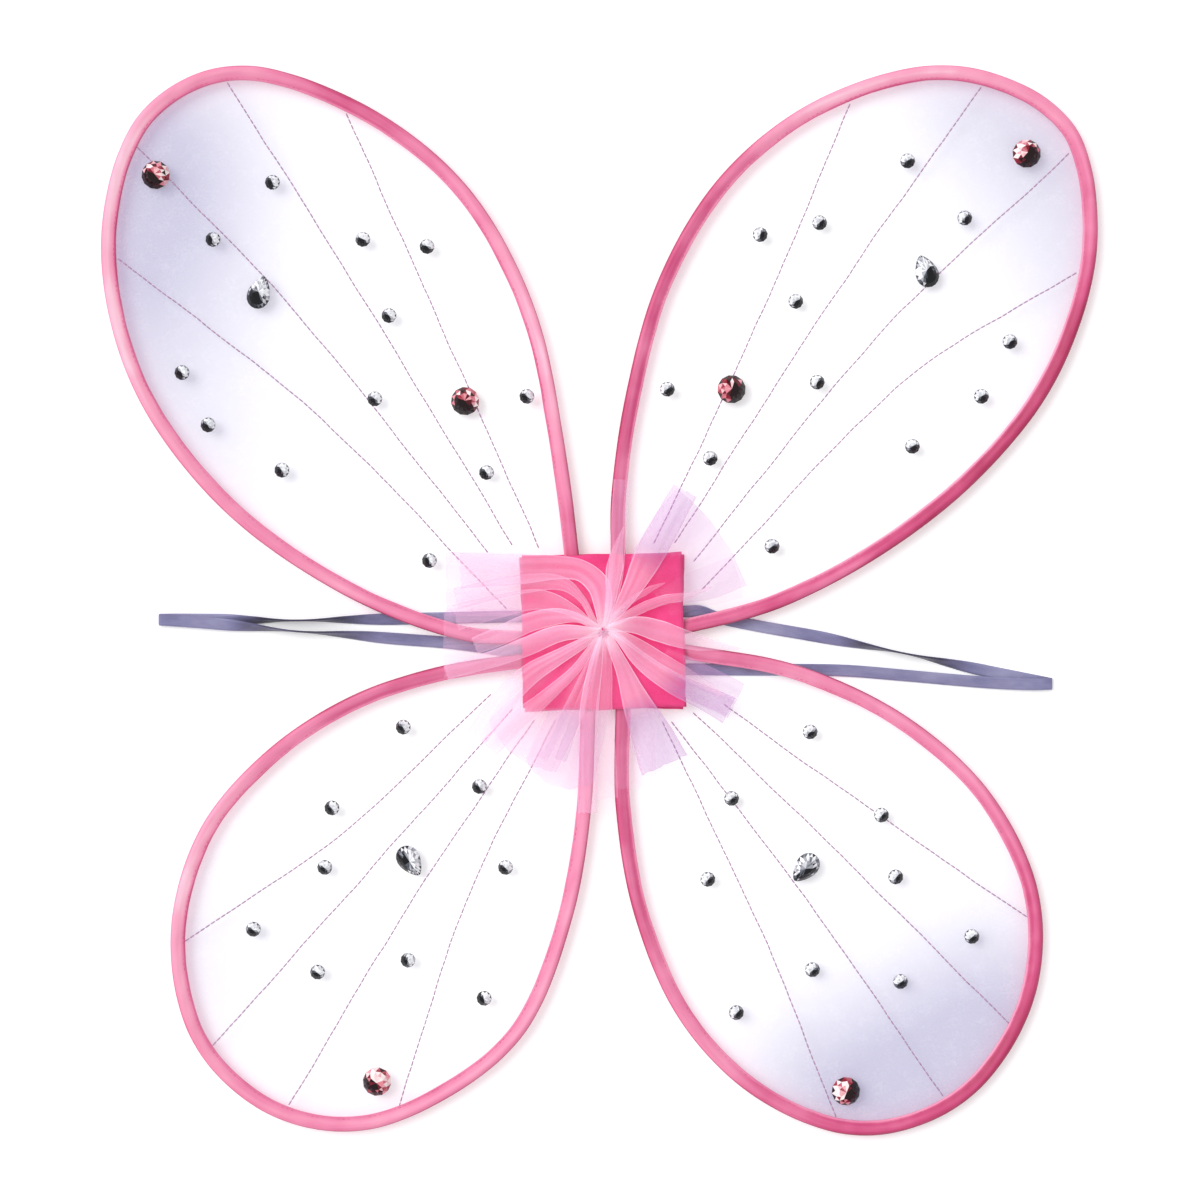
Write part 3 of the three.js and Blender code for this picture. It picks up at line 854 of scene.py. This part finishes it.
def make_veins(wing):
    """The stitched lines across a wing, which wander a little."""
    parts = []
    for tip, middle, root in VEINS[wing]:
        curve = smooth_path(np.array([tip, middle, root]) * MM, 2 * MM)
        wander = ripple(wing, tip)
        s = lengths_along(curve)
        curve = curve + leftward(curve) * (0.35 * MM * wander(s / 0.05))[:, None]
        keep = [p for p in curve if inside_sheet(wing, p)]
        path = np.array([(x, y, sheet_height(wing, x, y) + 0.12 * MM) for x, y in keep])
        parts += stitches_along(path, 2.6 * MM, 0.3 * MM, share=0.9)
    make_stitching(f"veins_{wing}", parts, VEIN_THREAD, f"{wing}_wing")


def inside_sheet(wing, p):
    """Whether a point is on the organza and clear of the binding's edge."""
    centre = ROUTES[wing].mean(axis=0)
    angle = math.atan2(p[1] - centre[1], p[0] - centre[0])
    edge = np.interp(angle, *OUTLINES[wing])
    return math.hypot(*(p - centre)) < edge - 0.5 * MM


def make_seam(wing):
    """The row of stitches that holds the folded tape, near its inner edge."""
    route = smooth_path(ROUTES[wing], 1.5 * MM)[2:-2]
    line = route + leftward(route) * STITCH_LINE
    top = WIRE_HEIGHT + BINDING_FIN * 1.1 - 0.05 * MM
    path = np.column_stack([line, np.full(len(line), top)])
    stitches = stitches_along(path, 2.2 * MM, 0.13 * MM)
    make_stitching(f"seam_{wing}", stitches, SEAM_THREAD, f"{wing}_wing")


# ---------- stones ----------

SMALL_STONE = (3.2 * MM, 2.4 * MM)  # radius and height
PEAR_STONE = (14 * MM, 10 * MM)  # length and width
STONE_SEAT = 0.25 * MM  # the glue under a stone


def faceted_stone(outline, height, table=0.5, girdle=0.14):
    """A flat-backed stone on an outline of points: girdle, two rows of crown facets and a table."""
    outline = np.asarray(outline, float)
    n = len(outline)
    verts, faces = [], []
    for scale, z, turn in ((1.0, 0.0, 0.0), (1.0, girdle, 0.0), (0.79, 0.62, 0.5), (table, 1.0, 0.0)):
        ring = outline * (1 - turn) + np.roll(outline, -1, axis=0) * turn
        verts += [(*(p * scale), z * height) for p in ring]
    for j in range(n):
        after = (j + 1) % n
        faces.append((j, after, n + after, n + j))
        faces += [(n + j, n + after, 2 * n + j), (n + after, 2 * n + after, 2 * n + j)]
        faces += [(2 * n + j, 2 * n + after, 3 * n + after), (2 * n + j, 3 * n + after, 3 * n + j)]
    faces.append(tuple(range(3 * n, 4 * n)))
    faces.append(tuple(reversed(range(n))))
    return verts, faces


def split_facets(verts, faces, dark_reflection_side, spread, rng, brightest):
    """Gives every facet its own corners, so that it's flat and has a brightness of its own, a painted
    reflection.

    The painted reflection is dark towards dark_reflection_side and bright elsewhere, darker at the rim and a
    little darker on the table. The steep facets round the foot are by turns darker and lighter, and those
    that stand upright are light."""
    top = max(v[2] for v in verts)
    reach = max(math.hypot(v[0], v[1]) for v in verts)
    out_verts, out_faces, facet = [], [], []

    def put(corners):
        x, y = (sum(c[k] for c in corners) / len(corners) / reach for k in (0, 1))
        side = x * math.cos(dark_reflection_side) + y * math.sin(dark_reflection_side)
        rim = max(0.0, math.hypot(x, y) - 0.72) / 0.28
        in_table = min(c[2] for c in corners) > top * 0.98
        on_girdle = sum(c[2] < top * 0.2 for c in corners)
        lit = brightest - 1.8 * max(0.0, side + 0.14) - 0.4 * rim - 0.12 * in_table
        lit = {4: 0.75, 2: 0.5 * lit + 0.1, 1: 0.5 * lit + 0.45}.get(on_girdle, lit)
        lit += rng.uniform(-spread, spread) * (0.6 if in_table else 1.0)
        start = len(out_verts)
        out_verts.extend(corners)
        out_faces.append(tuple(range(start, start + len(corners))))
        facet.extend([min(1.0, max(0.0, lit))] * len(corners))

    for face in faces:
        corners = [verts[i] for i in face]
        if len(face) <= 4:
            put(corners)
            continue
        middle = tuple(sum(c[k] for c in corners) / len(corners) for k in range(3))
        for a, b in zip(corners, corners[1:] + corners[:1]):
            put([a, b, middle])
    return out_verts, out_faces, facet


def placed(part, x, y, z, angle):
    c, s = math.cos(angle), math.sin(angle)
    verts = [(x + c * a - s * b, y + s * a + c * b, z + h) for a, b, h in part[0]]
    return (verts, *part[1:])


def round_outline(radius, count):
    return [
        (radius * math.cos(2 * math.pi * k / count), radius * math.sin(2 * math.pi * k / count))
        for k in range(count)
    ]


def pear_outline(length, width):
    """A pear with its tip towards +X, its middle at the origin."""
    points = []
    count = 20
    for k in range(count):
        a = 2 * math.pi * k / count
        taper = 1 - 0.5 * (0.5 + 0.5 * math.cos(a)) ** 1.6
        points.append((length / 2 * math.cos(a), width / 2 * math.sin(a) * taper * 1.12))
    return points


def stone_object(name, wing, parts, material, replaced=()):
    verts, faces, facet = join_parts(parts)
    piece = make_object(name, verts, faces, material, smooth=False, attributes={"facet": facet})
    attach(piece, f"{wing}_wing")
    if replaced:
        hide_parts(*replaced)


def make_stones(wing):
    """A wing's small stones as one piece, and its large stones one by one."""
    rng = random.Random(wing)

    def cut(outline, height, x, y, angle, spread, brightest=0.85):
        # where each stone's painted reflection is dark
        dark_reflection_side = math.radians(-135 if "left" in wing else -45) + rng.uniform(-0.4, 0.4) - angle
        part = split_facets(*faceted_stone(outline, height), dark_reflection_side, spread, rng, brightest)
        return placed(part, x, y, sheet_height(wing, x, y) + STONE_SEAT, angle)

    small = []
    for x, y in SMALL_STONES[wing]:
        radius, height = SMALL_STONE
        angle = rng.uniform(0, ABOUT_A_TURN)
        small.append(cut(round_outline(radius, 10), height, x * MM, y * MM, angle, 0.18))
    stone_object(f"small_stones_{wing}", wing, small, CLEAR)
    for node in sorted(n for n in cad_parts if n.startswith(wing) and "stone" in n):
        low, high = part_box(node)
        x, y = (low[0] + high[0]) / 2, (low[1] + high[1]) / 2
        height = high[2] - low[2]
        name = node.replace("stone", "gem")
        if "round" in node:
            outline = round_outline((high[0] - low[0]) / 2, 12)
            # the upper wings' pink stones get a darker painted reflection
            brightest = 0.66 if "upper" in wing else 0.88
            part = cut(outline, height, x, y, rng.uniform(0, ABOUT_A_TURN), 0.5, brightest)
            stone_object(name, wing, [part], PINK, [node])
        else:
            part = cut(pear_outline(*PEAR_STONE), height, x, y, pear_angle(node), 0.4)
            stone_object(name, wing, [part], CLEAR, [node])


def pear_angle(node):
    """The direction of a pear stone's tip: where its CAD solid reaches furthest from the middle."""
    co = np.array([v.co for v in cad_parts[node].data.vertices])[:, :2]
    centre = co.mean(axis=0)
    tip = co[np.argmax(np.hypot(*(co - centre).T))]
    return math.atan2(*(tip - centre)[::-1])


# ---------- patches ----------


def make_patch(name, node, material, dome, turn=0.0):
    """A square of felt with slightly wavy cut edges, domed if what is under it lifts it, and turned."""
    low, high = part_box(node)
    middle_x, middle_y = (low[0] + high[0]) / 2, (low[1] + high[1]) / 2
    half_x, half_y = (high[0] - low[0]) / 2, (high[1] - low[1]) / 2
    steps = 48
    c, s = math.cos(turn), math.sin(turn)
    wobble = ripple(name)
    top, bottom, uvs = [], [], []
    for i in range(steps + 1):
        for j in range(steps + 1):
            u, v = 2 * i / steps - 1, 2 * j / steps - 1
            x = middle_x + u * half_x * (1 + 0.012 * wobble(v * 0.9) * abs(u))
            y = middle_y + v * half_y * (1 + 0.014 * wobble(u * 0.8 + 3) * abs(v))
            lift = dome * (1 - u**4) * (1 - v**4) + 0.2 * MM * wobble(x / 0.03, y / 0.03)
            x, y = c * x - s * y, s * x + c * y
            edge = max(abs(u), abs(v))
            soft = 0.35 * MM * max(0.0, (edge - 0.94) / 0.06) ** 2
            top.append((x, y, high[2] + lift - soft))
            bottom.append((x, y, low[2] + (lift if dome else 0) + soft * 0.5))
            uvs.append((x, y))
    count = (steps + 1) ** 2
    faces = grid_faces(steps + 1, steps + 1)
    under = [tuple(i + count for i in reversed(f)) for f in faces]
    rim = list(range(steps + 1))
    rim += [k * (steps + 1) + steps for k in range(1, steps + 1)]
    rim += [steps * (steps + 1) + k for k in range(steps - 1, -1, -1)]
    rim += [k * (steps + 1) for k in range(steps - 1, 0, -1)]
    side = [(a, b, b + count, a + count) for a, b in zip(rim, rim[1:] + rim[:1])]
    piece = make_object(name, top + bottom, faces + under + side, material, uvs + uvs)
    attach(piece, "hub")
    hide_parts(node)


# ---------- rosette ----------
# The cloth of the rosette, petal by petal, upwards from the lowest. A petal is its density, how lilac it is,
# how round its cut end is, and stations along its middle line: x, y and width in millimetres. The under
# petals are wide and pale, and the top ones are gathered under the tie.

UNDER_PETALS = {
    "upper_right": [
        (0.26, 0.75, 0.1, [(18, 21, 24), (33, 31, 42), (48.5, 42, 52)]),
        (0.1, 0.6, 0.02, [(26, 12, 12), (40, 18, 16), (57, 23, 18)]),
    ],
    "upper_left": [
        (0.2, 0.25, 0.0, [(-8, 2, 8), (-20, 2, 12), (-34, 2.5, 14), (-67, 2.5, 15)]),
        (0.3, 0.55, 0.0, [(-6, 10, 14), (-20, 18, 22), (-34, 20, 26), (-66, 20, 27)]),
    ],
    "lower_left": [
        (0.2, 0.25, 0.0, [(-8, -3, 8), (-20, -8, 12), (-34, -11, 13), (-67, -12.5, 14)]),
        (0.34, 0.12, 0.1, [(-6, -8, 14), (-22, -32, 28), (-37, -52, 38)]),
        (0.27, 0.75, 0.12, [(-2, -10, 12), (-10, -34, 24), (-20, -65, 32)]),
    ],
    "lower_right": [
        (0.1, 0.3, 0.1, [(4, -10, 10), (10, -34, 20), (11, -66, 24)]),
        (0.3, 0.8, 0.0, [(24, -12, 12), (36, -19, 16), (56, -29, 16)]),
    ],
}

TOP_PETALS = {
    "upper_right": [
        (0.26, 0.45, 0.0, [(2.5, 8, 4), (5, 22, 6), (6, 34, 6.5), (6.8, 48, 6.5), (7.8, 64, 7)]),
        (0.42, 0.9, 0.0, [(5, 7, 4), (12, 18, 8), (18.8, 31, 12), (26.5, 45, 12), (34.5, 59.5, 11)]),
        (0.3, 0.05, 0.3, [(5, 4, 2.5), (14, 9, 4), (24, 13, 4), (35, 15, 3.5), (46, 19, 3)]),
        (0.22, 0.0, 0.2, [(6, 8, 2), (13, 14, 2.5), (20, 18, 2.5), (26, 20.5, 2)]),
        (0.34, 0.05, 0.4, [(2, 7, 3), (3.5, 17, 5), (5, 27, 7), (6.5, 36, 5.5), (9, 45, 1.5)]),
    ],
    "upper_left": [
        (0.24, 0.1, 0.0, [(-5, 3, 3), (-13, 9, 5), (-23, 13, 8), (-34, 13, 9), (-62, 6, 11)]),
        (0.3, 0.1, 0.0, [(-4, 5, 2.5), (-9, 14, 3), (-18, 20.5, 6), (-34, 20, 8), (-62, 14, 9)]),
        (0.34, 0.1, 0.0, [(0.5, 3, 5), (0, 11, 7.5), (-2, 19.5, 9.5), (-9, 25.5, 9), (-19, 27, 10),
            (-34, 26.5, 12.5), (-60, 25.5, 15)]),
        (0.36, 0.0, 0.0, [(-4, 3, 2.5), (-11, 6, 4), (-20, 6.5, 7), (-31, 4, 8), (-45, -2.5, 8),
            (-54, -6, 7)]),
    ],
    "lower_left": [
        (0.22, 0.7, 0.0, [(-2, -5, 2.5), (-8, -18, 3), (-15, -33, 4), (-26, -53, 5)]),
        (0.22, 0.9, 0.0, [(-1.5, -5, 2), (-5, -17, 2.5), (-11, -34, 4), (-18, -54, 5)]),
        (0.36, 0.12, 0.0, [(-3, -4, 3), (-12, -16, 4), (-24, -27, 6), (-37, -38, 8), (-48, -49, 9)]),
        (0.4, 0.12, 0.0, [(-4, -2, 3.5), (-17, -9.5, 6), (-31, -18, 9), (-43, -30, 10), (-53, -44, 9)]),
        (0.32, 0.1, 0.0, [(-1, -4, 3), (-3.5, -16, 6), (-6, -34, 8), (-6.5, -56, 8), (-6.5, -76, 8)]),
        (0.4, 0.0, 0.0, [(-4, 0, 4), (-18, -0.5, 7), (-32, -6, 8), (-48, -12, 7), (-66, -17, 6)]),
    ],
    "lower_right": [
        (0.2, 0.1, 0.0, [(1, -4, 3), (1.5, -16, 4.5), (0.5, -34, 7), (1, -56, 9), (1.5, -70, 10)]),
        (0.42, 0.95, 0.0, [(3, -4, 4), (9, -17, 7), (15, -32, 13), (21, -45, 18), (26, -56, 21)]),
        (0.4, 0.9, 0.0, [(6, -2, 3), (16, -12, 7), (29, -21, 9), (41, -27, 10), (53, -33, 12)]),
        (0.34, 0.0, 0.1, [(5, 0, 3), (14, -5, 5), (25, -12, 6), (37, -19, 5), (50, -27, 4)]),
        (0.34, 0.1, 0.3, [(4, 2, 3.5), (13, 3, 7), (23, 0.5, 9), (34, -3, 8), (46, -5.5, 5.5), (58, -7, 3)]),
    ],
}  # fmt: skip

ROSETTE_BASE = PATCH_HIGH[2]
PATCH_EDGE = (PATCH_HIGH[0], PATCH_HIGH[1])
LYING = 7.1 * MM  # the height of the lowest petal out on a wing, over the bindings
SPILL_LENGTH = 14 * MM
SELVAGE = 0.13  # a gathered petal's doubled edge, as a share of half its width
CREASES = 1.1  # a petal's cut area over the area it covers


def petal_height(x, y, layer, pale):
    """The height of the petals' cloth: a ring of gathers round the tie, then down off the patch."""
    reach = math.hypot(x, y) / MM
    puff = (1.2 if pale else 5.2) * MM * math.exp(-(((reach - 10) / 9) ** 2))
    on_patch = ROSETTE_BASE + (1.0 + 0.28 * layer) * MM + puff
    spill = min(1.0, max(abs(x) - PATCH_EDGE[0], abs(y) - PATCH_EDGE[1], 0) / SPILL_LENGTH)
    spill = spill * spill * (3 - 2 * spill)
    return on_patch + (LYING + 0.12 * layer * MM - on_patch) * spill


def beyond_patch(x, y):
    """From 0 over the front patch to 1 off it."""
    past = max(abs(x) - PATCH_EDGE[0], abs(y) - PATCH_EDGE[1])
    return min(1.0, max(0.0, past / MM + 0.5))


def petal_line(stations, pale):
    """A petal's stations joined up, and from under the tie if it's one of the gathered ones."""
    points = list(stations)
    if not pale:
        x, y, width = points[0]
        points.insert(0, (0.12 * x, 1.2 + 0.12 * (y - 1.2), 0.5 * width))
    return smooth_path(np.array(points, float) * MM, 1.2 * MM)


def petal_part(density, lilac, roundness, stations, layer, pale, seed):
    """One petal: a band of cloth along its middle line, arched, with denser edges if it's gathered."""
    line = petal_line(stations, pale)
    tangents = tangents_of(line[:, :2])
    total = lengths_along(line[:, :2])
    columns = 14 if not pale else 20
    crease = ripple(seed, "crease")
    sway = ripple(seed, "sway")
    verts, uvs, opacity, shade = [], [], [], []
    for v in np.linspace(0, 1, len(line)):
        for j in range(columns + 1):
            u = 2 * j / columns - 1
            s = total[-1] * v * (1 - roundness * u * u) * (1 + 0.012 * sway(2 * u))
            x, y, width = (np.interp(s, total, line[:, k]) for k in range(3))
            tx, ty = (np.interp(s, total, tangents[:, k]) for k in range(2))
            across = u * width / 2 + 0.35 * MM * sway(v * 1.5) * v
            px, py = x - ty * across, y + tx * across
            arch = min(1.5 * MM, 0.32 * width) * (1 - 0.75 * v) * (1 - u * u)
            folds = crease(0.4 * v, 2.2 * u) * 0.35 * MM * (0.5 if pale else 1.0)
            verts.append((px, py, petal_height(px, py, layer, pale) + arch + folds * (1 - 0.5 * v)))
            uvs.append((s, u * width / 2))
            selvage = 0.0 if pale else max(0.0, (abs(u) - 1 + SELVAGE) / SELVAGE)
            gathered = math.exp(-((s / (9 * MM)) ** 2)) * (not pale)
            outside = min(1.0, max(0.0, (math.hypot(px, py) - 24 * MM) / (16 * MM)))
            if pale:
                solid = density * (0.2 + 0.8 * beyond_patch(px, py))
            else:
                solid = density * 0.9 + 0.06 * (1 - outside)
                solid += (0.38 - 0.22 * outside) * min(1, selvage * 2) + 0.28 * gathered
            solid += density * 0.3 * crease(0.5 * v, 1.8 * u)
            opacity.append(max(0.03, solid))
            # painted highlight: the gathers and doubled edges get the palest pink
            painted_highlight = max(gathered, 0.8 * min(1, selvage * 2))
            shade.append(0.12 * (1 - painted_highlight) + 0.88 * (0.2 + 0.8 * lilac) * outside)
    return verts, grid_faces(len(line), columns + 1), uvs, opacity, shade


def petal_area(stations, pale):
    line = petal_line(stations, pale)
    return float(np.trapz(line[:, 2], lengths_along(line[:, :2])))


def make_petals(wing, pale):
    petals = (UNDER_PETALS if pale else TOP_PETALS)[wing]
    parts = [
        petal_part(*petal, layer=k + (0 if pale else 2), pale=pale, seed=(wing, k, pale))
        for k, petal in enumerate(petals)
    ]
    verts, faces, uvs, opacity, shade = join_parts(parts)
    name = f"rosette_{'under' if pale else 'folds'}_{wing}"
    piece = make_object(name, verts, faces, TULLE, uvs, attributes={"opacity": opacity, "lilac": shade})
    blend_over_hinge(piece)
    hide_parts("rosette_skirt" if pale else "rosette_crown")
    area = CREASES * sum(petal_area(petal[-1], pale) for petal in petals)


def make_tie():
    """The sewn gather in the rosette's middle: a few turns of thread over the pinched cloth."""
    parts = []
    z = ROSETTE_BASE + 5.4 * MM
    for k in range(5):
        a = math.radians(36 * k + 10)
        reach = (2.6 + 0.3 * (k % 2)) * MM
        points = []
        for s in np.linspace(-1, 1, 9):
            height = z + 0.9 * MM * (1 - s**2) + 0.12 * MM * k
            points.append((reach * s * math.cos(a), reach * s * math.sin(a), height))
        parts += stitches_along(np.array(points), 1.3 * MM, 0.2 * MM, share=1.0)
    piece = make_stitching("rosette_stitches", parts, TIE_THREAD, "hub")
    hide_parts("rosette_tie")


# ---------- the table and the light ----------


def make_floor():
    """A nearly white table. Its faint glow keeps it as light as the photograph's background."""
    n = Nodes("table", Roughness=0.7, Emission_Color=(1, 1, 1, 1), Emission_Strength=0.22)
    n.set("Base Color", n.ramp(n.noise(0.3), (0.3, (0.93, 0.93, 0.935)), (0.7, (0.95, 0.95, 0.955))))
    size = 3.0
    verts = [(x * size, y * size, -0.05 * MM) for x, y in ((-1, -1), (1, -1), (1, 1), (-1, 1))]
    make_object("table", verts, [(0, 1, 2, 3)], n.material)


def make_sun(name, direction, strength, softness):
    """A soft light from far away; direction points towards it and softness is its spread in degrees."""
    data = bpy.data.lights.new(name, "SUN")
    data.energy = strength
    data.angle = math.radians(softness)
    light = bpy.data.objects.new(name, data)
    light.location = Vector(direction).normalized() * 2
    light.rotation_mode = "QUATERNION"
    light.rotation_quaternion = Vector(direction).to_track_quat("Z", "Y")
    bpy.context.collection.objects.link(light)


def make_world():
    world = bpy.data.worlds.new("studio")
    world.use_nodes = True
    background = world.node_tree.nodes["Background"]
    background.inputs["Color"].default_value = (1, 1, 1, 1)
    background.inputs["Strength"].default_value = 0.7
    scene = bpy.context.scene
    scene.world = world
    scene.view_settings.view_transform = "Standard"
    scene.cycles.transparent_max_bounces = 48


# ---------- the whole ----------


def finish_cad_nodes():
    """The CAD pieces that stay: wires, their roots and the tape that holds the roots."""
    for node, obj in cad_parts.items():
        if "wire" in node:
            obj.data.materials.clear()
            obj.data.materials.append(CLOTH_TAPE if "wrap" in node else WIRE)


for wing_name in WINGS:
    make_organza(wing_name)
    make_binding(wing_name)
    make_veins(wing_name)
    make_seam(wing_name)
    make_stones(wing_name)
    make_petals(wing_name, pale=True)
    make_petals(wing_name, pale=False)
make_patch("felt_back", "back_patch", FELT, 0)
make_patch("felt_front", "front_patch", FELT, 0.9 * MM, turn=math.radians(2))
make_tie()
finish_cad_nodes()
make_floor()
make_sun("key", (-0.75, 0.45, 1.0), 1.6, 40)
make_world()
